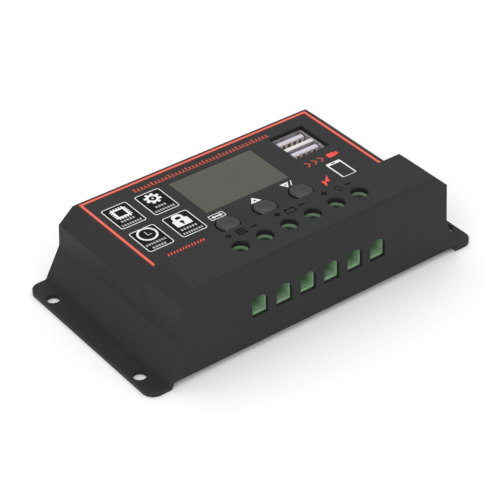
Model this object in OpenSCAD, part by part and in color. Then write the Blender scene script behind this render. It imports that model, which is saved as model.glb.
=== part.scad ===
// Solar charge controller, wall mounted, six way screw terminal, twin USB outlet.
// Origin at the middle of the base, +X along the length, terminals towards -Y, +Z up.

/* [Case] */
// Overall length over the two mounting flanges
case_l = 132.5; // [120:0.5:160]
// Overall depth of the case
case_d = 68.4; // [60:0.2:90]
// Height of the raised terminal block
front_h = 32.6; // [28:0.1:40]
// Height of the instrument panel behind the terminal block
panel_h = 26.6; // [22:0.1:32]
// Distance from the middle to the riser between the two levels
riser_y = -14.35; // [-20:0.05:-10]
// Wall thickness of the moulded cover
wall = 2.0; // [1.4:0.1:3]
// Wall left in front of the terminal block
front_wall = 1.3; // [1:0.1:2.5]
// Chamfer along the long top edges
edge_ch = 0.4; // [0.1:0.05:0.6]
// Thickness of the mounting flanges
flange_t = 1.6; // [1:0.1:4]
// Corner radius of the mounting flanges
flange_r = 4.0; // [1:0.5:8]

/* [Mounting] */
// Half distance between the mounting holes along the length
mount_x = 63.0; // [60:0.1:75]
// Half distance between the mounting holes across the depth
mount_y = 24.1; // [18:0.1:32]
// Diameter of the mounting holes
mount_hole = 4.6; // [3:0.1:6]
// Thickness of the metal base plate
plate_t = 1.6; // [1:0.1:3]

/* [Terminals] */
// Number of terminal poles
poles = 6; // [6:1:6]
// Distance between terminal poles
pitch = 9.5; // [8:0.1:12]
// Diameter of the screwdriver holes in the cover
driver_hole = 5.6; // [4:0.1:7]
// Distance of the screw axes from the middle
screw_y = -23.6; // [-28:0.1:-20]
// Width of each wire window
window_w = 6.2; // [5:0.1:8]
// Bottom of the wire windows
window_z0 = 12.0; // [9:0.1:16]
// Height of the straight sides of the wire windows
window_side = 5.2; // [3:0.1:8]
// Rise of the arched top of the wire windows
window_rise = 2.2; // [1:0.1:3.1]

/* [Panel] */
// Width of the display window
lcd_w = 33.6; // [25:0.1:45]
// Depth of the display window
lcd_d = 20.9; // [15:0.1:30]
// Middle of the display window along the length
lcd_x = 0.15; // [-5:0.05:5]
// Middle of the display window across the depth
lcd_y = 13.95; // [5:0.05:20]
// Distance between the push buttons
button_pitch = 14.8; // [12:0.1:20]
// Distance of the push buttons from the middle
button_y = -5.4; // [-8:0.1:0]
// Diameter of a push button
button_d = 7.8; // [5:0.1:10]
// Diameter of the hole that a push button moves in
button_hole = 8.2; // [5.4:0.1:10.6]
// Middle of the USB outlet along the length
usb_x = 32.7; // [28:0.1:36]
// Middle of the USB outlet across the depth
usb_y = 18.0; // [10:0.1:22]
// Width of the USB opening
usb_w = 14.2; // [13:0.1:16]
// Depth of the USB opening
usb_d = 15.2; // [14:0.1:18]
// Width of the coloured border stripe
stripe_w = 0.95; // [0.6:0.05:2]

/* [Boards] */
// Underside of the main circuit board
pcb_z = 7.0; // [5:0.1:9]
// Thickness of the main circuit board
pcb_t = 1.6; // [1:0.1:2.4]
// Underside of the display board
disp_z = 16.0; // [14:0.1:18]
// Thickness of the display board
disp_t = 1.2; // [0.8:0.1:1.6]

/* [Hidden] */
$fn = 64;
hl = case_l / 2;
hd = case_d / 2;
// outer side profile, half width at a height
slope_x0 = 60.1;
slope_x1 = 53.6;
slope_z1 = 13.2;
draft = 0.028;
ksl = (slope_x0 - slope_x1) / slope_z1;
function wall_x(z) = slope_x1 - draft * (z - slope_z1);
panel_ch_z = 21.2;
panel_top_x = 47.5;
front_ch_z = 28.0;
front_top_x = 48.2;
// inner side profile
in_sl = wall * sqrt(1 + ksl * ksl);
in_x0 = slope_x0 - in_sl;
function in_wall_x(z) = wall_x(z) - wall;
in_z1 = (in_x0 - (slope_x1 - wall) - draft * slope_z1) / (ksl - draft);
kp = (wall_x(panel_ch_z) - panel_top_x) / (panel_h - panel_ch_z);
kf = (wall_x(front_ch_z) - front_top_x) / (front_h - front_ch_z);
// inner chamfer line: x = c - k * z
cp = panel_top_x + kp * panel_h - wall * sqrt(1 + kp * kp);
cf = front_top_x + kf * front_h - wall * sqrt(1 + kf * kf);
w0 = slope_x1 - wall + draft * slope_z1;
in_pz = (cp - w0) / (kp - draft);
in_fz = (cf - w0) / (kf - draft);
// front and rear faces lean in towards the top
front_lean = 0.05;
rear_lean = 0.036;
front_top_y = -hd + front_lean * front_h;
notch_x = 57.2;
notch_z = 2.2;
far = 60;
eps = 0.01;
// terminal block
tb_w = poles * pitch + 1.2;
tb_y1 = -17.5;
tb_z0 = pcb_z + pcb_t;
tb_z1 = 30.4;
tb_ledge_z = 27.2;
tb_ledge_t = 1.0;
chamber_w = 7.8;
chamber_y0 = -27.0;
chamber_y1 = -20.2;
chamber_z0 = 10.6;
tongue_z0 = 18.5;
tongue_t = 1.1;
tongue_w = 4.4;
cage_w = 7.0;
cage_y0 = -26.4;
cage_y1 = -20.8;
cage_z0 = 11.2;
cage_h = 11.4;
cage_top = 2.0;
cage_bot = 1.5;
cage_slot_w = 5.2;
screw_d = 3.9;
screw_head_d = 5.2;
screw_head_h = 1.5;
screw_head_z = tb_ledge_z + tb_ledge_t;
screw_tip_z = 19.9;
// panel parts
roof_in = panel_h - wall;
lens_t = 0.8;
lcd_lip = 2.1;
lcd_z0 = roof_in - lens_t - 2.2;
disp_top = disp_z + disp_t;
plunger_d = 3.4;
switch_h = 3.6;
lip_d = 9.4;
lip_z0 = 23.2;
lip_z1 = 24.2;
cap_top = 27.15;
plunger_top = 21.9;
button_x = [-button_pitch, 0, button_pitch];
boss_xy = [[-49.2, 15], [49.2, 15], [-49.2, -10], [49.2, -10]];
post_xy = [[-42.3, 27.3], [42.3, 27.3], [-42.3, -25], [42.3, -25]];
disp_xy = [[-22.4, 25.6], [22.4, 25.6], [-22.4, -7.6], [22.4, -7.6]];
fet_x = [-24, -8, 8, 24];
cap_xy = [[-36.5, 19.5], [-36.5, 6.0]];
usb_sx = 13.0;
usb_sy = 14.4;
usb_top = 25.4;
usb_wall = 0.5;
usb_pitch = 7.8;
usb_tongue_top = 25.0;

// helpers
module yz_prism(points, x0, x1) {
    translate([x0, 0, 0]) rotate([90, 0, 90]) linear_extrude(x1 - x0) polygon(points);
}

module xz_prism(points, y0, y1) {
    translate([0, y1, 0]) rotate([90, 0, 0]) linear_extrude(y1 - y0) polygon(points);
}

module box(x0, x1, y0, y1, z0, z1) {
    translate([x0, y0, z0]) cube([x1 - x0, y1 - y0, z1 - z0]);
}

module rounded_plate(hx, hy, r, z0, z1) {
    translate([0, 0, z0]) linear_extrude(z1 - z0) union() {
        square([2 * hx - 2 * r, 2 * hy], center = true);
        square([2 * hx, 2 * hy - 2 * r], center = true);
        for (sx = [-1, 1], sy = [-1, 1]) translate([sx * (hx - r), sy * (hy - r)]) circle(r);
    }
}

// the flat bottomed, arch topped outline of a wire window, drawn in X and Z
module window_shape(w, side, rise, z0, y0, y1) {
    rr = (w * w / 4 + rise * rise) / (2 * rise);
    zc = side + rise - rr;
    translate([0, y1, z0]) rotate([90, 0, 0]) linear_extrude(y1 - y0) intersection() {
        translate([-w / 2, 0]) square([w, side + rise + 1]);
        union() {
            translate([0, zc]) circle(rr);
            translate([-w, 0]) square([2 * w, zc]);
        }
    }
}

function pole_x(i) = (i - (poles - 1) / 2) * pitch;

// case
module cover_outside() {
    intersection() {
        union() {
            xz_prism([[-slope_x0, 0], [slope_x0, 0], [slope_x1, slope_z1], [wall_x(panel_ch_z), panel_ch_z], [panel_top_x, panel_h],
                      [-panel_top_x, panel_h], [-wall_x(panel_ch_z), panel_ch_z], [-slope_x1, slope_z1]], riser_y - 1, far);
            xz_prism([[-slope_x0, 0], [slope_x0, 0], [slope_x1, slope_z1], [wall_x(front_ch_z), front_ch_z], [front_top_x, front_h],
                      [-front_top_x, front_h], [-wall_x(front_ch_z), front_ch_z], [-slope_x1, slope_z1]], -far, riser_y);
        }
        yz_prism([[-hd, 0], [hd, 0], [hd - rear_lean * 40, 40], [-hd + front_lean * 40, 40]], -90, 90);
    }
    rounded_plate(hl, hd, flange_r, 0, flange_t);
}

module cover_inside() {
    intersection() {
        union() {
            xz_prism([[-in_x0 - ksl, -1], [in_x0 + ksl * 1, -1], [in_wall_x(in_z1), in_z1], [in_wall_x(in_pz), in_pz], [cp - kp * roof_in, roof_in],
                      [-cp + kp * roof_in, roof_in], [-in_wall_x(in_pz), in_pz], [-in_wall_x(in_z1), in_z1]], riser_y - wall - 1, far);
            xz_prism([[-in_x0 - ksl, -1], [in_x0 + ksl * 1, -1], [in_wall_x(in_z1), in_z1], [in_wall_x(in_fz), in_fz], [cf - kf * (front_h - wall), front_h - wall],
                      [-cf + kf * (front_h - wall), front_h - wall], [-in_wall_x(in_fz), in_fz], [-in_wall_x(in_z1), in_z1]], -far, riser_y - wall);
        }
        yz_prism([[-hd + wall - front_lean, -1], [hd - wall + rear_lean, -1], [hd - wall - rear_lean * 40, 40], [-hd + wall + front_lean * 40, 40]], -90, 90);
    }
}

// a wedge that takes a small chamfer off a top edge running along X, side is 1 for a front edge and -1 for a rear one
module top_edge_cut(y, z, side) {
    yz_prism([[y + side * (edge_ch + 1), z + 1], [y - side * 1, z - edge_ch - 1], [y - side * 1, z + 1]], -60, 60);
}

module cover() color([0.22, 0.22, 0.23]) {
    difference() {
        union() {
            difference() {
                cover_outside();
                cover_inside();
            }
            // screw bosses for the base plate, grown out of the side walls
            for (p = boss_xy) translate([p[0], p[1], plate_t]) cylinder(h = 17, d = 6.4);
            // bosses that carry the display board under the panel
            for (p = disp_xy) translate([p[0], p[1], disp_top]) cylinder(h = roof_in + 0.5 - disp_top, d = 4.4);
            // ribs each side of the terminal block
            for (s = [-1, 1]) box(s * 31.2 - 0.7, s * 31.2 + 0.7, -31.4, -17, 24, front_h - 1);
        }
        // thinner wall in front of the terminal block
        yz_prism([[-hd + front_wall + front_lean * 8.2, 8.2], [-30, 8.2], [-30, tb_z1 + 0.3], [-hd + front_wall + front_lean * (tb_z1 + 0.3), tb_z1 + 0.3]], -tb_w / 2 - 0.3, tb_w / 2 + 0.3);
        // raised lower edge of the front wall
        xz_prism([[-notch_x - 1.2, -1], [notch_x + 1.2, -1], [notch_x + 1, 0], [notch_x, notch_z], [-notch_x, notch_z], [-notch_x - 1, 0]], -far, -30);
        // wire windows
        for (i = [0 : poles - 1]) translate([pole_x(i), 0, 0]) window_shape(window_w, window_side, window_rise, window_z0, -far, -29);
        // screwdriver holes, with a small lead in
        for (i = [0 : poles - 1]) translate([pole_x(i), screw_y, front_h - wall - 1]) {
            cylinder(h = 5, d = driver_hole);
            translate([0, 0, wall + 1 - 0.35]) cylinder(h = 0.5, d1 = driver_hole, d2 = driver_hole + 1);
        }
        // display window
        box(lcd_x - lcd_w / 2, lcd_x + lcd_w / 2, lcd_y - lcd_d / 2, lcd_y + lcd_d / 2, roof_in - 1, panel_h + 1);
        // button holes, with a rounded lead in
        for (x = button_x) translate([x, button_y, 0]) {
            translate([0, 0, roof_in - 1]) cylinder(h = 5, d = button_hole);
            translate([0, 0, panel_h - 0.4]) cylinder(h = 0.5, d1 = button_hole, d2 = button_hole + 1);
        }
        // USB opening
        box(usb_x - usb_w / 2, usb_x + usb_w / 2, usb_y - usb_d / 2, usb_y + usb_d / 2, roof_in - 1, panel_h + 1);
        // small chamfers along the front, riser and rear top edges
        top_edge_cut(front_top_y, front_h, 1);
        top_edge_cut(riser_y, front_h, -1);
        top_edge_cut(hd - rear_lean * panel_h, panel_h, -1);
        // groove for the border stripe
        stripe_path(stripe_w, panel_h - 0.4, panel_h + 1);
        // pilot holes
        for (p = boss_xy) translate([p[0], p[1], plate_t - 1]) cylinder(h = 13, d = 3.0);
        for (p = disp_xy) translate([p[0], p[1], disp_top - 1]) cylinder(h = 7, d = 2.0);
        // mounting holes
        for (sx = [-1, 1], sy = [-1, 1]) translate([sx * mount_x, sy * mount_y, -1]) cylinder(h = 6, d = mount_hole);
    }
}

module stripe_path(w, z0, z1) {
    x = 45.95;
    yr = 31.45;
    yf = riser_y;
    difference() {
        box(-x - w / 2, x + w / 2, yf, yr + w / 2, z0, z1);
        box(-x + w / 2, x - w / 2, yf - 1, yr - w / 2, z0 - 1, z1 + 1);
    }
}

module border_stripe() color([0.85, 0.36, 0.27]) stripe_path(stripe_w, panel_h - 0.4, panel_h + 0.05);

module bottom_plate() color([0.72, 0.73, 0.74]) difference() {
    union() {
        rounded_plate(56.6, 31.3, 2, 0, plate_t);
    }
    for (p = boss_xy) translate([p[0], p[1], 0]) {
        translate([0, 0, -1]) cylinder(h = 4, d = 3.2);
        translate([0, 0, -eps]) cylinder(h = 1.3, d1 = 6.0, d2 = 3.2);
    }
    for (p = post_xy) translate([p[0], p[1], -1]) cylinder(h = 4, d = 4.0);
}

module case_screws() color([0.75, 0.75, 0.77]) for (p = boss_xy) translate([p[0], p[1], 0]) difference() {
    union() {
        translate([0, 0, 0.02]) cylinder(h = 1.27, d1 = 5.92, d2 = 3.16);
        translate([0, 0, 1.2]) cylinder(h = 11.3, d = 2.9);
    }
    translate([0, 0, -1]) for (a = [0, 90]) rotate([0, 0, a]) translate([-1.5, -0.3, 0]) cube([3, 0.6, 1.9]);
}

// display
module display_lens() color([0.42, 0.41, 0.37]) {
    box(lcd_x - lcd_w / 2 + 0.1, lcd_x + lcd_w / 2 - 0.1, lcd_y - lcd_d / 2 + 0.1, lcd_y + lcd_d / 2 - 0.1, roof_in - eps, panel_h - 0.08);
    box(lcd_x - lcd_w / 2 - lcd_lip, lcd_x + lcd_w / 2 + lcd_lip, lcd_y - lcd_d / 2 - lcd_lip, lcd_y + lcd_d / 2 + lcd_lip, roof_in - lens_t, roof_in);
}

module lcd_glass() color([0.45, 0.46, 0.4])
    box(lcd_x - lcd_w / 2 - lcd_lip, lcd_x + lcd_w / 2 + lcd_lip, lcd_y - lcd_d / 2 - lcd_lip, lcd_y + lcd_d / 2 + lcd_lip, lcd_z0, roof_in - lens_t);

module lcd_backlight() color([0.9, 0.92, 0.88])
    box(lcd_x - lcd_w / 2 - 0.6, lcd_x + lcd_w / 2 + 0.6, lcd_y - lcd_d / 2 - 0.6, lcd_y + lcd_d / 2 + 0.6, lcd_z0 - 3, lcd_z0);

module lcd_holder() color([0.93, 0.93, 0.9]) difference() {
    box(lcd_x - lcd_w / 2 - lcd_lip, lcd_x + lcd_w / 2 + lcd_lip, lcd_y - lcd_d / 2 - lcd_lip, lcd_y + lcd_d / 2 + lcd_lip, disp_top, lcd_z0);
    box(lcd_x - lcd_w / 2 - 0.6, lcd_x + lcd_w / 2 + 0.6, lcd_y - lcd_d / 2 - 0.6, lcd_y + lcd_d / 2 + 0.6, lcd_z0 - 3, lcd_z0 + 1);
}

module display_board() color([0.1, 0.32, 0.18]) difference() {
    box(-25, 25, -10, 28, disp_z, disp_top);
    for (p = disp_xy) translate([p[0], p[1], disp_z - 1]) cylinder(h = 4, d = 2.2);
}

module display_screws() color([0.75, 0.75, 0.77]) for (p = disp_xy) translate([p[0], p[1], 0]) difference() {
    union() {
        translate([0, 0, disp_z - 1.4]) cylinder(h = 1.4, d = 3.8);
        translate([0, 0, disp_z - 0.1]) cylinder(h = 6.4, d = 1.9);
    }
    for (a = [0, 90]) rotate([0, 0, a]) translate([-1.1, -0.25, disp_z - 2]) cube([2.2, 0.5, 1.3]);
}

// push buttons
module tact_switches() color([0.13, 0.13, 0.14]) for (x = button_x) translate([x, button_y, disp_top]) difference() {
    translate([-3.1, -3.1, 0]) cube([6.2, 6.2, switch_h]);
    translate([0, 0, 0.8]) cylinder(h = 4, d = plunger_d + 0.4);
}

module button_cap(x) {
    r = button_d / 2;
    translate([x, button_y, 0]) rotate_extrude() polygon([[0, plunger_top], [2, plunger_top], [2, lip_z0], [lip_d / 2, lip_z0], [lip_d / 2, lip_z1], [r, lip_z1],
        [r, cap_top - 0.7], [r - 0.1, cap_top - 0.4], [r - 0.28, cap_top - 0.17], [r - 0.55, cap_top - 0.03], [r - 0.8, cap_top],
        [r - 1.4, cap_top - 0.08], [0, cap_top - 0.25]]);
}

module menu_button() color([0.15, 0.15, 0.16]) button_cap(button_x[0]);
module up_button() color([0.15, 0.15, 0.16]) button_cap(button_x[1]);
module down_button() color([0.15, 0.15, 0.16]) button_cap(button_x[2]);

module plunger(x) translate([x, button_y, disp_top + 1.6]) cylinder(h = plunger_top - disp_top - 1.6, d = plunger_d);

module menu_plunger() color([0.85, 0.83, 0.78]) plunger(button_x[0]);
module up_plunger() color([0.85, 0.83, 0.78]) plunger(button_x[1]);
module down_plunger() color([0.85, 0.83, 0.78]) plunger(button_x[2]);

// main board
module main_board() color([0.08, 0.3, 0.16]) difference() {
    box(-45.5, 45.5, -28.5, 30.5, pcb_z, pcb_z + pcb_t);
    for (p = post_xy) translate([p[0], p[1], pcb_z - 1]) cylinder(h = 4, d = 3.2);
}

module board_posts() color([0.8, 0.68, 0.38]) for (p = post_xy) translate([p[0], p[1], 0]) difference() {
    union() {
        translate([0, 0, plate_t]) cylinder(h = pcb_z - plate_t, d = 6);
        translate([0, 0, 0.1]) cylinder(h = plate_t, d = 3.94);
    }
    translate([0, 0, 2.2]) cylinder(h = 8, d = 3.0);
}

module board_screws() color([0.75, 0.75, 0.77]) for (p = post_xy) translate([p[0], p[1], pcb_z + pcb_t]) difference() {
    union() {
        cylinder(h = 1.9, d = 5.3);
        translate([0, 0, -5.5]) cylinder(h = 6, d = 2.9);
    }
    for (a = [0, 90]) rotate([0, 0, a]) translate([-1.5, -0.3, 0.9]) cube([3, 0.6, 2]);
}

module board_header() color([0.1, 0.1, 0.1]) box(-9, 9, 20.5, 25.5, pcb_z + pcb_t, disp_z);

// terminal block
module terminal_housing() color([0.36, 0.62, 0.38]) difference() {
    // the face follows the lean of the cover's front wall
    yz_prism([[-hd + front_wall + 0.05 + front_lean * tb_z0, tb_z0], [tb_y1, tb_z0], [tb_y1, tb_z1], [-hd + front_wall + 0.05 + front_lean * tb_z1, tb_z1]], -tb_w / 2, tb_w / 2);
    for (i = [0 : poles - 1]) translate([pole_x(i), 0, 0]) {
        // clamp chamber
        box(-chamber_w / 2, chamber_w / 2, chamber_y0, chamber_y1, chamber_z0, tb_ledge_z);
        // hole for the screw neck and well for the screw head
        translate([0, screw_y, tb_ledge_z - 1]) cylinder(h = 4, d = screw_d + 0.4);
        translate([0, screw_y, screw_head_z]) cylinder(h = 5, d = 5.8);
        // wire entry, a shallow pocket with the way in at its top
        window_shape(5.4, 4.6, 1.9, 12.8, -far, chamber_y0 + 1);
        // way in for the contact strip
        box(-tongue_w / 2 - 0.05, tongue_w / 2 + 0.05, chamber_y1 - 1, tb_y1 + 1, tongue_z0 - 0.05, tongue_z0 + tongue_t + 0.05);
    }
}

module terminal_contacts() color([0.82, 0.8, 0.74]) for (i = [0 : poles - 1]) translate([pole_x(i), 0, 0]) {
    box(-tongue_w / 2, tongue_w / 2, -26.2, tb_y1 + 1.0, tongue_z0, tongue_z0 + tongue_t);
    box(-tongue_w / 2, tongue_w / 2, tb_y1, tb_y1 + 1.0, tb_z0, tongue_z0 + eps);
}

module cage(i) translate([pole_x(i), 0, 0]) difference() {
    box(-cage_w / 2, cage_w / 2, cage_y0, cage_y1, cage_z0, cage_z0 + cage_h);
    box(-cage_slot_w / 2, cage_slot_w / 2, cage_y0 - 1, cage_y1 + 1, cage_z0 + cage_bot, cage_z0 + cage_h - cage_top);
    translate([0, screw_y, cage_z0 + cage_h - cage_top - 1]) cylinder(h = 5, d = screw_d + 0.1);
}

module terminal_cage_1() color([0.8, 0.76, 0.6]) cage(0);
module terminal_cage_2() color([0.8, 0.76, 0.6]) cage(1);
module terminal_cage_3() color([0.8, 0.76, 0.6]) cage(2);
module terminal_cage_4() color([0.8, 0.76, 0.6]) cage(3);
module terminal_cage_5() color([0.8, 0.76, 0.6]) cage(4);
module terminal_cage_6() color([0.8, 0.76, 0.6]) cage(5);

module clamp_screw(i) translate([pole_x(i), screw_y, 0]) difference() {
    rotate_extrude() polygon([[0, screw_tip_z], [screw_d / 2 - 0.5, screw_tip_z], [screw_d / 2, screw_tip_z + 0.5], [screw_d / 2, screw_head_z + 0.05],
        [screw_head_d / 2, screw_head_z + 0.05], [screw_head_d / 2, screw_head_z + screw_head_h - 0.25], [screw_head_d / 2 - 0.25, screw_head_z + screw_head_h], [0, screw_head_z + screw_head_h]]);
    translate([0, 0, screw_head_z + 0.95]) cylinder(h = 3, d = 2.8);
    for (a = [0, 90]) rotate([0, 0, a - 37]) translate([-1.95, -0.45, screw_head_z + 0.75]) cube([3.9, 0.9, 3]);
}

module terminal_screw_1() color([0.7, 0.7, 0.72]) clamp_screw(0);
module terminal_screw_2() color([0.7, 0.7, 0.72]) clamp_screw(1);
module terminal_screw_3() color([0.7, 0.7, 0.72]) clamp_screw(2);
module terminal_screw_4() color([0.7, 0.7, 0.72]) clamp_screw(3);
module terminal_screw_5() color([0.7, 0.7, 0.72]) clamp_screw(4);
module terminal_screw_6() color([0.7, 0.7, 0.72]) clamp_screw(5);

// twin USB outlet, opening upwards
module usb_port_voids(z0) for (k = [0, 1]) translate([usb_x, usb_y + (k - 0.5) * usb_pitch, 0])
    box(-usb_sx / 2 + usb_wall, usb_sx / 2 - usb_wall, -3.15, 2.95, z0, usb_top + 1);

module usb_shell() color([0.8, 0.8, 0.82]) difference() {
    box(usb_x - usb_sx / 2, usb_x + usb_sx / 2, usb_y - usb_sy / 2, usb_y + usb_sy / 2, pcb_z + pcb_t, usb_top);
    usb_port_voids(pcb_z + pcb_t + 6);
}

module usb_tongues() color([0.86, 0.85, 0.88]) for (k = [0, 1]) translate([usb_x, usb_y + (k - 0.5) * usb_pitch, 0])
    box(-5.5, 5.5, -0.1, 1.85, pcb_z + pcb_t + 6, usb_tongue_top);

module usb_contacts() color([0.83, 0.72, 0.45]) for (k = [0, 1], j = [0 : 3]) translate([usb_x + (j - 1.5) * 2.3, usb_y + (k - 0.5) * usb_pitch, 0])
    box(-0.5, 0.5, -0.4, -0.1, pcb_z + pcb_t + 6, usb_tongue_top - 0.25);

// parts on the boards
module power_transistors() color([0.1, 0.1, 0.11]) for (x = fet_x) translate([x, 0, 0]) box(-5, 5, -1, 8, plate_t + 0.5 + 1.3, plate_t + 0.5 + 4.4);

module transistor_tabs() color([0.75, 0.75, 0.77]) for (x = fet_x) translate([x, 0, 0]) {
    difference() {
        box(-5, 5, -1, 14, plate_t + 0.5, plate_t + 0.5 + 1.3);
        translate([0, 11.4, 0]) cylinder(h = 6, d = 3.6);
    }
    for (k = [-1, 0, 1]) {
        box(k * 2.54 - 0.4, k * 2.54 + 0.4, -4, -1, 4.2, 4.8);
        box(k * 2.54 - 0.4, k * 2.54 + 0.4, -4, -3.4, 4.2, pcb_z);
    }
}

module thermal_pad() color([0.6, 0.66, 0.74]) box(-31, 31, -2, 15, plate_t, plate_t + 0.5);

module capacitors() color([0.8, 0.8, 0.82]) for (p = cap_xy) translate([p[0], p[1], pcb_z + pcb_t]) {
    translate([0, 0, 14.6]) cylinder(h = 0.4, d = 9.2);
    cylinder(h = 0.6, d = 9.2);
}

module capacitor_sleeves() color([0.07, 0.09, 0.2]) for (p = cap_xy) translate([p[0], p[1], pcb_z + pcb_t]) translate([0, 0, 0.6]) cylinder(h = 14, d = 10);

module control_chip() color([0.08, 0.08, 0.09]) translate([0, -4, pcb_z + pcb_t]) box(-5, 5, -5, 5, 0.1, 1.5);

module chip_pins() color([0.75, 0.75, 0.77]) translate([0, -4, pcb_z + pcb_t]) for (a = [0, 90, 180, 270]) rotate([0, 0, a]) for (j = [-4 : 4])
    box(j * 1.0 - 0.2, j * 1.0 + 0.2, 5, 6, 0, 0.5);

module inductor() color([0.17, 0.17, 0.18]) translate([-14, 8, pcb_z + pcb_t + 1]) difference() {
    cylinder(h = 5.6, d = 11.6);
    translate([0, 0, 1.2]) difference() {
        cylinder(h = 3.2, d = 13);
        translate([0, 0, -1]) cylinder(h = 6, d = 7);
    }
}

module inductor_base() color([0.12, 0.12, 0.12]) translate([-14, 8, pcb_z + pcb_t]) box(-6.2, 6.2, -6.2, 6.2, 0, 1);

module driver_chip() color([0.08, 0.08, 0.09]) translate([14, 8, pcb_z + pcb_t]) box(-3, 3, -2.5, 2.5, 0, 1.6);

module fuse() color([0.85, 0.78, 0.5]) translate([36, -6, pcb_z + pcb_t]) box(-2, 2, -6, 6, 0, 4.5);

cover();
border_stripe();
bottom_plate();
case_screws();
display_lens();
lcd_glass();
lcd_backlight();
lcd_holder();
display_board();
display_screws();
tact_switches();
menu_button();
up_button();
down_button();
menu_plunger();
up_plunger();
down_plunger();
main_board();
board_posts();
board_screws();
board_header();
terminal_housing();
terminal_contacts();
terminal_cage_1();
terminal_cage_2();
terminal_cage_3();
terminal_cage_4();
terminal_cage_5();
terminal_cage_6();
terminal_screw_1();
terminal_screw_2();
terminal_screw_3();
terminal_screw_4();
terminal_screw_5();
terminal_screw_6();
usb_shell();
usb_tongues();
usb_contacts();
power_transistors();
transistor_tabs();
thermal_pad();
capacitors();
capacitor_sleeves();
control_chip();
chip_pins();
inductor();
inductor_base();
driver_chip();
fuse();
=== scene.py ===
# Looks of the solar charge controller, built around the fixed frame.
import math
import bpy
import bmesh
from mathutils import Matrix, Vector, geometry


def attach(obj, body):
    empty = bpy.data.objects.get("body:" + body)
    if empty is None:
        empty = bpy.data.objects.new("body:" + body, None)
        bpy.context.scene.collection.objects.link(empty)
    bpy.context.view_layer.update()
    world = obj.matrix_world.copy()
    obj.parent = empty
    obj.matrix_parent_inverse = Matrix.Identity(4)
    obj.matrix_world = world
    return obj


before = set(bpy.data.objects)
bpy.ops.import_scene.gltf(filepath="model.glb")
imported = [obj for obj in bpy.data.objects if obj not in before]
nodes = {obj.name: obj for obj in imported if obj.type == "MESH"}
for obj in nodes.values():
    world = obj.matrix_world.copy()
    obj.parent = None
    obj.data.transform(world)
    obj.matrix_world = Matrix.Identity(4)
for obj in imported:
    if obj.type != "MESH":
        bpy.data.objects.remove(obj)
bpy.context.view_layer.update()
S = 0.001  # the drawings below are in millimetres

scene = bpy.context.scene
scene.view_settings.view_transform = "Standard"
scene.view_settings.look = "None"
scene.view_settings.exposure = 0.0
scene.view_settings.gamma = 1.0

# ---------------------------------------------------------------- camera
cam_data = bpy.data.cameras.new("camera")
cam_data.sensor_width = 36.0
cam_data.lens = 136.71
cam_data.clip_start = 0.02
cam_data.clip_end = 20.0
cam = bpy.data.objects.new("camera", cam_data)
scene.collection.objects.link(cam)
cam.location = (-0.30807, -0.39587, 0.37243)
cam.rotation_mode = "XYZ"
cam.rotation_euler = (math.radians(53.905), 0.0, math.radians(-37.718))
scene.camera = cam

# ---------------------------------------------------------------- materials
def lin(c):
    c = c / 255.0
    return c / 12.92 if c <= 0.04045 else ((c + 0.055) / 1.055) ** 2.4

def srgb(r, g, b):
    return (lin(r), lin(g), lin(b), 1.0)

def base_material(name):
    m = bpy.data.materials.new(name)
    m.use_nodes = True
    nt = m.node_tree
    nt.nodes.clear()
    out = nt.nodes.new("ShaderNodeOutputMaterial")
    b = nt.nodes.new("ShaderNodeBsdfPrincipled")
    nt.links.new(b.outputs["BSDF"], out.inputs["Surface"])
    return m, nt, b

def coords(nt, scale=(1, 1, 1)):
    tc = nt.nodes.new("ShaderNodeTexCoord")
    mp = nt.nodes.new("ShaderNodeMapping")
    mp.inputs["Scale"].default_value = scale
    nt.links.new(tc.outputs["Object"], mp.inputs["Vector"])
    return mp.outputs["Vector"]

def noise(nt, vec, scale, detail=2.0, rough=0.5):
    n = nt.nodes.new("ShaderNodeTexNoise")
    n.inputs["Scale"].default_value = scale
    n.inputs["Detail"].default_value = detail
    n.inputs["Roughness"].default_value = rough
    nt.links.new(vec, n.inputs["Vector"])
    return n.outputs["Fac"]

def ramp(nt, fac, a, b, lo=0.3, hi=0.7):
    r = nt.nodes.new("ShaderNodeValToRGB")
    r.color_ramp.elements[0].position = lo
    r.color_ramp.elements[0].color = a
    r.color_ramp.elements[1].position = hi
    r.color_ramp.elements[1].color = b
    nt.links.new(fac, r.inputs["Fac"])
    return r.outputs["Color"]

def remap(nt, fac, a, b, lo=0.3, hi=0.7):
    r = nt.nodes.new("ShaderNodeMapRange")
    r.inputs["From Min"].default_value = lo
    r.inputs["From Max"].default_value = hi
    r.inputs["To Min"].default_value = a
    r.inputs["To Max"].default_value = b
    nt.links.new(fac, r.inputs["Value"])
    return r.outputs["Result"]

def add(nt, a, b, wa=1.0, wb=1.0):
    x = nt.nodes.new("ShaderNodeMath")
    x.operation = "MULTIPLY"
    nt.links.new(a, x.inputs[0])
    x.inputs[1].default_value = wa
    y = nt.nodes.new("ShaderNodeMath")
    y.operation = "MULTIPLY_ADD"
    nt.links.new(b, y.inputs[0])
    y.inputs[1].default_value = wb
    nt.links.new(x.outputs[0], y.inputs[2])
    return y.outputs[0]

def bump(nt, b, height, strength, distance):
    n = nt.nodes.new("ShaderNodeBump")
    n.inputs["Strength"].default_value = strength
    n.inputs["Distance"].default_value = distance
    nt.links.new(height, n.inputs["Height"])
    nt.links.new(n.outputs["Normal"], b.inputs["Normal"])

def vary(c, k):
    return (min(1, c[0] * k), min(1, c[1] * k), min(1, c[2] * k), 1.0)

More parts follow.
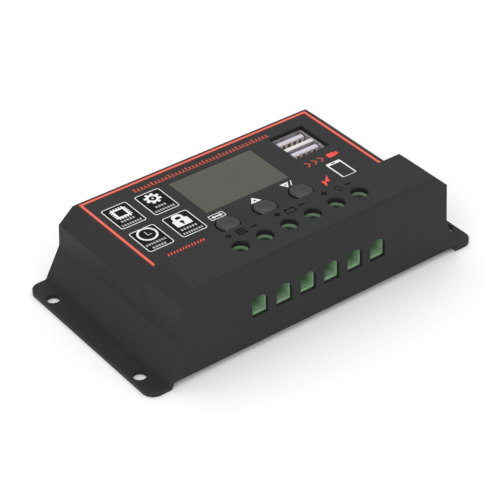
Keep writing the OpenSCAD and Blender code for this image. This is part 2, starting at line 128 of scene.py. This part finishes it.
def plastic(name, c, rough=(0.5, 0.6), spec=0.4, grain=5200.0, grain_h=0.00002, strength=0.35, mottle=0.06, blotch=70.0):
    """Moulded plastic: a fine spark-eroded grain, a slow change of tone and of shine."""
    m, nt, b = base_material(name)
    v = coords(nt)
    slow = noise(nt, v, blotch, 3.0, 0.55)
    fine = noise(nt, v, grain, 2.0, 0.6)
    both = add(nt, slow, fine, 0.6, 0.4)
    nt.links.new(ramp(nt, both, vary(c, 1 - mottle), vary(c, 1 + mottle)), b.inputs["Base Color"])
    nt.links.new(remap(nt, slow, rough[0], rough[1]), b.inputs["Roughness"])
    b.inputs["Specular IOR Level"].default_value = spec
    if strength:
        bump(nt, b, fine, strength, grain_h)
    return m

def ink(name, c, rough=0.5, spec=0.4, patch=0.05):
    """Screen-printed ink: faint mesh marks and uneven cover."""
    m, nt, b = base_material(name)
    v = coords(nt)
    cover = noise(nt, v, 900.0, 3.0, 0.6)
    mesh_ = nt.nodes.new("ShaderNodeTexVoronoi")
    mesh_.inputs["Scale"].default_value = 7000.0
    nt.links.new(v, mesh_.inputs["Vector"])
    nt.links.new(ramp(nt, cover, vary(c, 1 - patch), vary(c, 1 + patch)), b.inputs["Base Color"])
    nt.links.new(remap(nt, cover, rough - 0.05, rough + 0.05), b.inputs["Roughness"])
    b.inputs["Specular IOR Level"].default_value = spec
    bump(nt, b, mesh_.outputs["Distance"], 0.15, 0.00001)
    return m

def metal(name, c, rough=(0.25, 0.38), stretch=(1, 1, 1), scale=2500.0, strength=0.25, tarnish=0.12, blotch=260.0):
    """Plated or rolled metal: fine drawn lines and a slow tarnish."""
    m, nt, b = base_material(name)
    v = coords(nt)
    vs = coords(nt, stretch)
    lines = noise(nt, vs, scale, 3.0, 0.65)
    slow = noise(nt, v, blotch, 3.0, 0.6)
    nt.links.new(ramp(nt, slow, vary(c, 1 - tarnish), vary(c, 1 + tarnish * 0.4)), b.inputs["Base Color"])
    nt.links.new(remap(nt, add(nt, slow, lines, 0.5, 0.5), rough[0], rough[1]), b.inputs["Roughness"])
    b.inputs["Metallic"].default_value = 1.0
    bump(nt, b, lines, strength, 0.000012)
    return m

def board(name, c, track):
    """Circuit board: solder mask with faint tracks under it."""
    m, nt, b = base_material(name)
    v = coords(nt)
    br = nt.nodes.new("ShaderNodeTexBrick")
    br.inputs["Scale"].default_value = 160.0
    br.inputs["Mortar Size"].default_value = 0.06
    br.inputs["Mortar Smooth"].default_value = 0.3
    br.inputs["Color1"].default_value = c
    br.inputs["Color2"].default_value = vary(c, 0.85)
    br.inputs["Mortar"].default_value = track
    nt.links.new(v, br.inputs["Vector"])
    nt.links.new(br.outputs["Color"], b.inputs["Base Color"])
    slow = noise(nt, v, 200.0, 2.0)
    nt.links.new(remap(nt, slow, 0.25, 0.4), b.inputs["Roughness"])
    b.inputs["Specular IOR Level"].default_value = 0.5
    bump(nt, b, br.outputs["Fac"], 0.3, 0.00003)
    return m

def glassy(name, c, rough=(0.12, 0.2), spec=0.5, coat=0.0):
    """A smooth film or lens with a very slight orange peel."""
    m, nt, b = base_material(name)
    v = coords(nt)
    slow = noise(nt, v, 55.0, 2.0, 0.4)
    fine = noise(nt, v, 1600.0, 2.0, 0.5)
    nt.links.new(ramp(nt, slow, vary(c, 0.975), vary(c, 1.03)), b.inputs["Base Color"])
    nt.links.new(remap(nt, fine, rough[0], rough[1]), b.inputs["Roughness"])
    b.inputs["Specular IOR Level"].default_value = spec
    b.inputs["Coat Weight"].default_value = coat
    bump(nt, b, fine, 0.05, 0.000006)
    return m

CASE = (0.0225, 0.0222, 0.0230, 1)
M = {
    "case": plastic("moulded_case", CASE, rough=(0.55, 0.65), spec=0.20, strength=0.30, mottle=0.05),
    "stripe": ink("stripe_ink", srgb(232, 96, 76), rough=0.55),
    "white": ink("white_ink", (0.80, 0.80, 0.79, 1), rough=0.6, patch=0.04),
    "grey": ink("pale_grey_ink", (0.42, 0.42, 0.42, 1), rough=0.6, patch=0.06),
    "black": ink("black_ink", (0.004, 0.004, 0.004, 1), rough=0.62, spec=0.12),
    "mark": ink("dark_mark_ink", (0.002, 0.002, 0.002, 1), rough=0.65, spec=0.08),
    "red": ink("red_ink", srgb(236, 70, 55), rough=0.55),
    "dim_red": ink("dim_red_ink", srgb(188, 70, 48), rough=0.6, patch=0.12),
    "lens": glassy("display_film", (0.082, 0.080, 0.067, 1), rough=(0.30, 0.38), spec=0.20),
    "lcd": glassy("lcd_glass", (0.10, 0.11, 0.08, 1)),
    "milk": plastic("milky_light_guide", (0.78, 0.78, 0.74, 1), rough=(0.35, 0.45), strength=0.1),
    "key": plastic("key_plastic", (0.016, 0.016, 0.0165, 1), rough=(0.20, 0.28), spec=0.5, grain=1900.0, grain_h=0.00003, strength=0.35, mottle=0.12),
    "green": plastic("terminal_green", srgb(142, 178, 140), rough=(0.42, 0.52), spec=0.4, grain=3500.0, strength=0.2, mottle=0.05),
    "screw": metal("zinc_screw", (0.20, 0.205, 0.205, 1), rough=(0.35, 0.5), tarnish=0.25),
    "steel": metal("plated_steel", (0.62, 0.62, 0.64, 1), rough=(0.28, 0.4)),
    "plate": metal("rolled_aluminium", (0.70, 0.71, 0.72, 1), rough=(0.32, 0.45), stretch=(1, 25, 25), scale=600.0, strength=0.3, tarnish=0.08),
    "cage": metal("nickel_brass_cage", (0.60, 0.55, 0.42, 1), rough=(0.3, 0.42)),
    "tin": metal("tinned_strip", (0.60, 0.58, 0.54, 1), rough=(0.3, 0.45)),
    "brass": metal("turned_brass", (0.72, 0.55, 0.28, 1), rough=(0.22, 0.34)),
    "gold": metal("gilt_contact", (0.86, 0.68, 0.36, 1), rough=(0.2, 0.3)),
    "usb": metal("nickel_shell", (0.90, 0.88, 0.86, 1), rough=(0.22, 0.34), stretch=(30, 1, 1), scale=500.0, strength=0.2, tarnish=0.08),
    "tongue": plastic("pale_tongue", srgb(206, 200, 214), rough=(0.3, 0.4), spec=0.5, strength=0.1, mottle=0.03),
    "dark": plastic("black_moulding", (0.012, 0.012, 0.013, 1), rough=(0.45, 0.55), spec=0.4),
    "chip": plastic("epoxy_package", (0.014, 0.014, 0.015, 1), rough=(0.5, 0.6), spec=0.35, grain=2600.0),
    "pcb": board("green_board", (0.018, 0.095, 0.045, 1), (0.035, 0.16, 0.075, 1)),
    "pad": plastic("silicone_pad", (0.28, 0.34, 0.44, 1), rough=(0.6, 0.75), spec=0.3, grain=1500.0, strength=0.5),
    "sleeve": glassy("shrink_sleeve", (0.012, 0.018, 0.06, 1), rough=(0.2, 0.3)),
    "ferrite": plastic("sintered_ferrite", (0.035, 0.035, 0.04, 1), rough=(0.5, 0.65), grain=1800.0, strength=0.6),
    "ceramic": plastic("fired_ceramic", (0.68, 0.6, 0.36, 1), rough=(0.3, 0.4), strength=0.1),
}

def paint(node, key):
    o = nodes[node]
    o.data.materials.clear()
    o.data.materials.append(M[key])

PAINT = {
    "cover": "case", "border_stripe": "stripe", "bottom_plate": "plate", "case_screws": "steel", "display_lens": "lens",
    "lcd_glass": "lcd", "lcd_backlight": "milk", "lcd_holder": "milk", "display_board": "pcb", "display_screws": "steel",
    "tact_switches": "dark", "menu_button": "key", "up_button": "key", "down_button": "key", "menu_plunger": "milk",
    "up_plunger": "milk", "down_plunger": "milk", "main_board": "pcb", "board_posts": "brass", "board_screws": "steel",
    "board_header": "dark", "terminal_housing": "green", "terminal_contacts": "tin", "usb_shell": "usb", "usb_tongues": "tongue",
    "usb_contacts": "gold", "power_transistors": "chip", "transistor_tabs": "plate", "thermal_pad": "pad", "capacitors": "plate",
    "capacitor_sleeves": "sleeve", "control_chip": "chip", "chip_pins": "tin", "inductor": "ferrite", "inductor_base": "dark",
    "driver_chip": "chip", "fuse": "ceramic",
}
for i in range(1, 7):
    PAINT["terminal_cage_%d" % i] = "cage"
    PAINT["terminal_screw_%d" % i] = "screw"
for n, k in PAINT.items():
    paint(n, k)

# ---------------------------------------------------------------- softened edges on the CAD pieces
def soften(node, width_mm, segments=2, angle=32.0):
    o = nodes[node]
    w = o.modifiers.new("weld", "WELD")
    w.merge_threshold = 0.000002
    d = o.modifiers.new("flat_faces", "DECIMATE")
    d.decimate_type = "DISSOLVE"
    d.angle_limit = math.radians(0.3)
    b = o.modifiers.new("soft_edges", "BEVEL")
    b.width = width_mm * S
    b.segments = segments
    b.limit_method = "ANGLE"
    b.angle_limit = math.radians(angle)
    b.use_clamp_overlap = True
    b.harden_normals = True
    b.miter_outer = "MITER_ARC"

SOFT = {
        "usb_tongues": (0.45, 4), "usb_contacts": (0.08, 2), "display_board": (0.06, 1), "main_board": (0.06, 1), "board_header": (0.2, 2),
        "power_transistors": (0.25, 2), "control_chip": (0.12, 2), "driver_chip": (0.12, 2), "fuse": (0.3, 3), "inductor_base": (0.25, 2),
        "lcd_glass": (0.08, 1), "lcd_holder": (0.15, 2), "tact_switches": (0.2, 2), "capacitor_sleeves": (0.5, 3)}
for i in range(1, 7):
    SOFT["terminal_cage_%d" % i] = (0.15, 2)
for n, (w, s) in SOFT.items():
    soften(n, w, s)

# ---------------------------------------------------------------- flat prints, as thin solids
def rect(x0, y0, x1, y1):
    return [(x0, y0), (x1, y0), (x1, y1), (x0, y1)]

def rrect(x0, y0, x1, y1, r, n=5):
    pts = []
    for cx, cy, a0 in ((x1 - r, y0 + r, -90), (x1 - r, y1 - r, 0), (x0 + r, y1 - r, 90), (x0 + r, y0 + r, 180)):
        for k in range(n + 1):
            a = math.radians(a0 + 90.0 * k / n)
            pts.append((cx + r * math.cos(a), cy + r * math.sin(a)))
    return pts

def disc(cx, cy, r, n=40):
    return [(cx + r * math.cos(2 * math.pi * k / n), cy + r * math.sin(2 * math.pi * k / n)) for k in range(n)]

def bar(x0, y0, x1, y1, w):
    d = math.hypot(x1 - x0, y1 - y0)
    nx, ny = -(y1 - y0) / d * w / 2, (x1 - x0) / d * w / 2
    return [(x0 - nx, y0 - ny), (x1 - nx, y1 - ny), (x1 + nx, y1 + ny), (x0 + nx, y0 + ny)]

def area2(p):
    return sum(p[i][0] * p[(i + 1) % len(p)][1] - p[(i + 1) % len(p)][0] * p[i][1] for i in range(len(p)))

def print_piece(name, shapes, z, t, mat, body="case", z_low=None):
    """shapes: list of (outline, [holes]) in mm. Each becomes a closed thin solid standing t over z, rooted a little below it."""
    bm = bmesh.new()
    zb = (z - 0.02 if z_low is None else z_low)
    for outline, holes in shapes:
        loops = [outline if area2(outline) > 0 else outline[::-1]]
        loops += [h if area2(h) < 0 else h[::-1] for h in holes]
        flat = [p for l in loops for p in l]
        tris = geometry.tessellate_polygon([[Vector((p[0], p[1], 0)) for p in l] for l in loops])
        top = [bm.verts.new((p[0] * S, p[1] * S, (z + t) * S)) for p in flat]
        low = [bm.verts.new((p[0] * S, p[1] * S, zb * S)) for p in flat]
        for a, b, c in tris:
            pa, pb, pc = flat[a], flat[b], flat[c]
            if (pb[0] - pa[0]) * (pc[1] - pa[1]) - (pb[1] - pa[1]) * (pc[0] - pa[0]) < 0:
                a, b = b, a
            try:
                bm.faces.new((top[a], top[b], top[c]))
                bm.faces.new((low[c], low[b], low[a]))
            except ValueError:
                pass
        k = 0
        for l in loops:
            n = len(l)
            for i in range(n):
                j = (i + 1) % n
                bm.faces.new((low[k + i], low[k + j], top[k + j], top[k + i]))
            k += n
    bmesh.ops.dissolve_limit(bm, angle_limit=math.radians(0.2), verts=bm.verts, edges=bm.edges)
    me = bpy.data.meshes.new(name)
    bm.to_mesh(me)
    bm.free()
    o = bpy.data.objects.new(name, me)
    scene.collection.objects.link(o)
    me.materials.append(mat)
    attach(o, body)
    return o

PZ = 26.6   # panel
BZ = 32.6   # top of the terminal block
INK = 0.03

# the four boxed pictograms
BOX = {"chip": (-43.08, 12.3, -33.40, 24.7), "gear": (-30.2, 12.2, -20.6, 24.6),
       "clock": (-43.07, -2.85, -33.5, 9.2), "lock": (-30.3, -2.9, -20.7, 9.3)}
fills, frames = [], []
for x0, y0, x1, y1 in BOX.values():
    fills.append((rrect(x0 + 0.1, y0 + 0.1, x1 - 0.1, y1 - 0.1, 0.8), []))
    frames.append((rrect(x0, y0, x1, y1, 0.9), [rrect(x0 + 0.30, y0 + 0.30, x1 - 0.30, y1 - 0.30, 0.62)]))
print_piece("pictogram_grounds", fills, PZ, INK, M["black"])
print_piece("pictogram_frames", frames, PZ, INK * 1.8, M["white"])

# chip: a square ring with short pins
pict = []
cx, cy, ro, ri = -38.15, 20.2, 2.45, 1.68
ring_out = [(cx - ro, cy - ro), (cx + ro, cy - ro), (cx + ro, cy + ro), (cx - ro, cy + ro)]
pict.append((ring_out, [rect(cx - ri, cy - ri, cx + ri, cy + ri)]))
for k in range(5):
    p = -2.0 + k * 1.0
    w, ln = 0.27, 0.62
    pict.append((rect(cx + p - w, cy + ro + 0.0, cx + p + w, cy + ro + ln), []))
    pict.append((rect(cx + p - w, cy - ro - ln, cx + p + w, cy - ro), []))
    pict.append((rect(cx + ro, cy + p - w, cx + ro + ln, cy + p + w), []))
    pict.append((rect(cx - ro - ln, cy + p - w, cx - ro, cy + p + w), []))
# gear: eight teeth, a hole and a hub dot
cx, cy = -25.45, 20.7
gear = []
for k in range(8):
    a0 = 2 * math.pi * k / 8 + math.radians(22.5)
    for da, r in ((-0.26, 2.15), (-0.17, 2.95), (0.17, 2.95), (0.26, 2.15)):
        gear.append((cx + r * math.cos(a0 + da), cy + r * math.sin(a0 + da)))
pict.append((gear, [disc(cx, cy, 1.30, 32)]))
pict.append((disc(cx, cy, 0.38, 20), []))
# clock: a ring with two hands
cx, cy = -38.15, 5.6
pict.append((disc(cx, cy, 3.5, 56), [disc(cx, cy, 2.78, 56)]))
# padlock: body with a keyhole, and a shackle
cx = -25.55
key = [(cx - 0.28, 3.05), (cx + 0.28, 3.05), (cx + 0.42, 4.0)] + \
      [(cx + 0.72 * math.cos(math.radians(a)), 4.55 + 0.72 * math.sin(math.radians(a))) for a in range(-40, 221, 20)] + [(cx - 0.42, 4.0)]
pict.append((rrect(cx - 2.9, 2.4, cx + 2.9, 6.15, 0.45), [key]))
shackle = [(cx - 2.0, 6.15), (cx - 1.0, 6.15), (cx - 1.0, 7.1), (cx - 0.65, 7.55), (cx + 0.65, 7.55), (cx + 1.0, 7.1), (cx + 1.0, 6.15), (cx + 2.0, 6.15),
           (cx + 2.0, 7.5), (cx + 1.65, 8.25), (cx + 0.95, 8.75), (cx - 0.95, 8.75), (cx - 1.65, 8.25), (cx - 2.0, 7.5)]
pict.append((shackle, []))
print_piece("pictograms", pict, PZ, INK * 1.8, M["white"])
hands = [(bar(-38.3, 4.9, -38.3, 7.15, 0.36), []), (bar(-38.12, 5.08, -36.75, 5.08, 0.36), [])]
print_piece("clock_hands", hands, PZ, INK * 1.8, M["grey"])

# plain rows of short bars under the pictograms
rows = []
def bar_row(xa, xb, y, h, widths, gap=0.36):
    x, k = xa, 0
    while True:
        w = widths[k % len(widths)]
        if x + w > xb:
            break
        rows.append((rect(x, y - h / 2, x + w, y + h / 2), []))
        x += w + gap
        k += 1
bar_row(-40.9, -35.3, 15.9, 0.95, (0.7,))
bar_row(-42.0, -34.4, 13.75, 0.95, (0.6,))
bar_row(-27.6, -23.2, 15.9, 0.95, (0.7,))
bar_row(-29.2, -21.5, 13.75, 0.95, (0.6,))
bar_row(-42.1, -34.5, 0.55, 0.95, (0.6,))
bar_row(-41.0, -35.6, -1.5, 0.95, (0.7,))
bar_row(-28.6, -22.6, 0.7, 0.95, (0.7,))
bar_row(-29.2, -21.6, -1.45, 0.95, (0.6,))
print_piece("pictogram_rows", rows, PZ, INK * 1.8, M["grey"])

# a plain red scale along the rear of the panel
scale = [(rect(-28.0, 26.75, 27.2, 27.0), [])]
k = 0
x = -27.9
while x < 27.0:
    h = 1.75 if k % 5 == 0 else 1.2
    scale.append((rect(x, 27.08, x + 0.62, 27.08 + h), []))
    x += 1.38
    k += 1
print_piece("rear_scale", scale, PZ, INK, M["dim_red"])

# a row of slanted red strokes under the pictograms
hatch = []
for k in range(13):
    x = -39.8 + k * 1.12
    hatch.append(([(x, -8.05), (x + 0.5, -8.05), (x + 0.95, -6.85), (x + 0.45, -6.85)], []))
print_piece("red_hatch", hatch, PZ, INK, M["red"])

# three chevrons pointing to a plain plug, beside the USB outlet
chev = []
for k in range(3):
    x = 25.4 + k * 2.75
    w = 0.75
    chev.append(([(x, 3.9), (x + w, 3.9), (x + w + 1.25, 5.3), (x + w, 6.7), (x, 6.7), (x + 1.25, 5.3)], []))
print_piece("red_chevrons", chev, PZ, INK, M["dim_red"])
plug = [(rrect(34.6, 4.15, 37.6, 6.45, 0.45), []), (rrect(37.75, 4.5, 38.9, 6.1, 0.3), [])]
print_piece("red_plug", plug, PZ, INK, M["red"])
bolt = [(27.3, -2.9), (25.9, -6.6), (24.9, -5.9), (23.3, -8.9), (23.5, -4.8), (24.7, -5.5)]
print_piece("red_bolt", [(bolt, [])], PZ, INK, M["red"])

# telephone outline
ph = [(rrect(30.7, -7.5, 36.6, 1.7, 0.6), [rect(31.25, -7.25, 36.05, 0.35), rrect(32.6, 0.8, 34.4, 1.25, 0.2)])]
print_piece("phone_outline", ph, PZ, INK, M["white"])

# pictograms over the three keys
ks = [(rrect(-17.85, -1.15, -12.1, 1.6, 0.45), [rrect(-17.58, -0.88, -12.37, 1.33, 0.3)])]
ks.append(([(-17.2, 0.22), (-16.1, 1.0), (-16.1, 0.55), (-13.85, 0.55), (-13.85, 1.0), (-12.75, 0.22), (-13.85, -0.55), (-13.85, -0.1), (-16.1, -0.1), (-16.1, -0.55)], []))
ks.append(([(-2.3, -1.3), (1.8, -1.3), (-0.25, 1.6)], [[(-0.85, -0.6), (0.35, -0.6), (-0.25, 0.35)]]))
ks.append(([(13.1, -1.05), (14.75, 1.65), (11.45, 1.65)], [[(13.1, 0.1), (12.6, 0.95), (13.6, 0.95)]]))
ks.append((bar(14.55, -0.8, 16.05, 1.75, 0.34), []))
print_piece("key_signs", ks, PZ, INK, M["white"])

# black signs on the terminal block
sg = []
PX = [(i - 2.5) * 9.5 for i in range(6)]
for i in (0, 2, 4):
    x, y, a, w = PX[i], -17.45, 1.15, 0.33
    sg.append(([(x - w, y - a), (x + w, y - a), (x + w, y - w), (x + a, y - w), (x + a, y + w), (x + w, y + w), (x + w, y + a),
                (x - w, y + a), (x - w, y + w), (x - a, y + w), (x - a, y - w), (x - w, y - w)], []))
for i in (1, 3, 5):
    x, y = PX[i] - 0.05, -17.85
    sg.append((rect(x - 1.25, y - 0.3, x + 1.25, y + 0.3), []))
# solar panel
cx, cy = -19.15, -17.75
for r in range(3):
    for c in range(3):
        y0, y1 = cy - 1.65 + r * 1.12, cy - 1.65 + r * 1.12 + 0.86
        def sx(c_, y_):
            return cx + (c_ - 1.5) * (1.16 - 0.10 * (y_ - cy))
        g = 0.13
        sg.append(([(sx(c, y0) + g, y0), (sx(c + 1, y0) - g, y0), (sx(c + 1, y1) - g, y1), (sx(c, y1) + g, y1)], []))
print_piece("terminal_signs", sg, BZ, 0.02, M["mark"])
fa = []
# battery
fa.append((rrect(-2.0, -19.5, 1.95, -17.2, 0.25), [rrect(-1.62, -19.15, 1.57, -17.58, 0.15)]))
fa.append((rect(-1.5, -17.2, -0.65, -16.75), []))
fa.append((rect(0.6, -17.2, 1.45, -16.75), []))
# lamp
cx, cy = 19.6, -17.7
bulb = [(cx + 1.15 * math.cos(math.radians(a)), cy + 1.15 * math.sin(math.radians(a))) for a in range(-55, 236, 15)]
bulb = bulb + [(cx - 0.62, cy - 1.5), (cx + 0.62, cy - 1.5)]
inner = [(cx + 0.8 * math.cos(math.radians(a)), cy + 0.8 * math.sin(math.radians(a))) for a in range(-55, 236, 15)]
inner = inner + [(cx - 0.32, cy - 1.25), (cx + 0.32, cy - 1.25)]
fa.append((bulb, [inner]))
fa.append((rect(cx - 0.6, cy - 2.05, cx + 0.6, cy - 1.7), []))
print_piece("terminal_pictograms", fa, BZ, 0.02, M["mark"])

# ---------------------------------------------------------------- floor, light
fm, nt, b = base_material("pale_floor")
v = coords(nt)
nt.links.new(ramp(nt, noise(nt, v, 3.0, 2.0), (0.95, 0.95, 0.95, 1), (0.97, 0.97, 0.97, 1)), b.inputs["Base Color"])
b.inputs["Roughness"].default_value = 0.9
b.inputs["Specular IOR Level"].default_value = 0.1
me = bpy.data.meshes.new("floor")
h = 3.0
me.from_pydata([(-h, -h, -0.0002), (h, -h, -0.0002), (h, h, -0.0002), (-h, h, -0.0002)], [], [(0, 1, 2, 3)])
me.materials.append(fm)
floor = bpy.data.objects.new("floor", me)
scene.collection.objects.link(floor)

world = bpy.data.worlds.new("studio")
world.use_nodes = True
bg = world.node_tree.nodes.get("Background") or world.node_tree.nodes.new("ShaderNodeBackground")
bg.inputs["Color"].default_value = (1.0, 1.0, 1.0, 1.0)
bg.inputs["Strength"].default_value = 0.86
scene.world = world

def area(name, loc, target, size, power, color=(1, 1, 1)):
    l = bpy.data.lights.new(name, "AREA")
    l.shape = "RECTANGLE"
    l.size, l.size_y = size
    l.energy = power
    l.color = color
    o = bpy.data.objects.new(name, l)
    scene.collection.objects.link(o)
    o.location = loc
    d = Vector(target) - Vector(loc)
    o.rotation_euler = d.to_track_quat("-Z", "Y").to_euler()
    return o

area("key_light", (-0.55, -0.45, 0.75), (0, 0, 0.01), (0.5, 0.5), 2.6)
area("top_light", (0.1, 0.25, 1.0), (0, 0, 0), (0.9, 0.9), 1.5)
